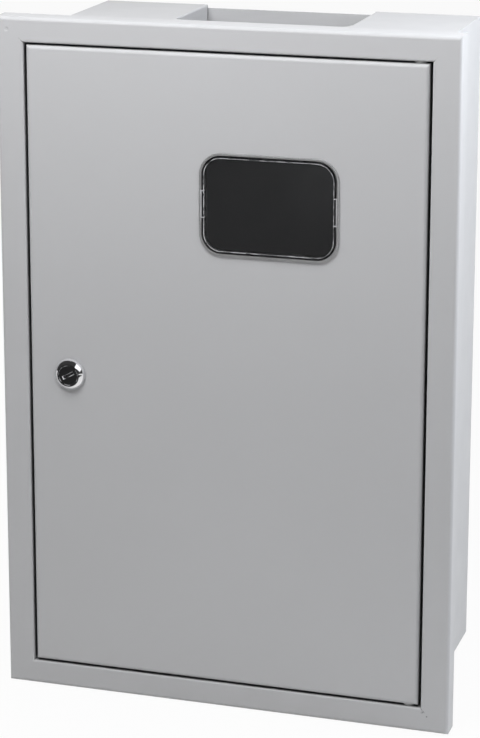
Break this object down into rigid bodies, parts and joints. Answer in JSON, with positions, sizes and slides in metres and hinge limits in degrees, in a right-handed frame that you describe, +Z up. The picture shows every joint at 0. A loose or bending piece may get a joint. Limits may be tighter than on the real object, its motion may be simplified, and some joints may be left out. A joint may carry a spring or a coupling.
{
  "type": "electric meter box",
  "caption": "Recessed sheet-steel box for an electricity meter: flanged front frame, hinged door with a clear window and a cam lock, cable openings, meter panel and rail inside.",
  "frame": {"origin": "middle of the outer back face, at the centre of the wall fixing holes", "axes": "+X to the right and +Z up as one faces the door, +Y from the door into the wall"},
  "size_m": [0.334, 0.1766, 0.5],
  "materials": {
    "powder_coat": "semi-matt silver-grey powder coat",
    "clear_plastic": "clear polished moulding",
    "chrome": "bright chrome plate",
    "zinc_steel": "bright zinc plate",
    "galvanised_sheet": "galvanised sheet",
    "nylon": "natural nylon",
    "brass": "bare drawn brass",
    "blue_plastic": "moulded blue insulator",
    "green_plastic": "moulded green insulator"
  },
  "bodies": {
    "case": {"tub": "powder_coat", "front_frame": "powder_coat", "frame_screws": "zinc_steel", "frame_nuts": "zinc_steel", "hinge_pin_upper": "zinc_steel", "hinge_pin_lower": "zinc_steel", "panel_standoffs": "zinc_steel", "panel_washers": "zinc_steel", "panel_nuts": "zinc_steel", "rail_screws": "zinc_steel", "neutral_bar_screws": "zinc_steel", "earth_bar_screws": "zinc_steel", "post_studs": "zinc_steel", "post_screws": "zinc_steel", "earth_stud": "zinc_steel", "earth_washers": "zinc_steel", "earth_nuts": "zinc_steel", "meter_panel": "galvanised_sheet", "mounting_rail": "galvanised_sheet", "rail_brackets": "galvanised_sheet", "hinge_washer_upper": "nylon", "hinge_washer_lower": "nylon", "neutral_bar": "brass", "earth_bar": "brass", "neutral_bar_posts": "blue_plastic", "earth_bar_posts": "green_plastic"},
    "door": {"door": "powder_coat", "window": "clear_plastic", "lock_housing": "chrome", "lock_washer": "zinc_steel", "lock_nut": "zinc_steel"},
    "lock": {"lock_plug": "chrome", "lock_cam": "zinc_steel", "cam_screw": "zinc_steel"}
  },
  "joints": [
    {"name": "door_hinge", "type": "hinge", "parent": "case", "child": "door", "pos_m": [0.1373, -0.165, 0], "axis": [0, 0, 1], "range_deg": [0, 105]},
    {"name": "lock_turn", "type": "hinge", "parent": "door", "child": "lock", "pos_m": [-0.1151, -0.172, -0.0074], "axis": [0, 1, 0], "range_deg": [0, 90]}
  ]
}
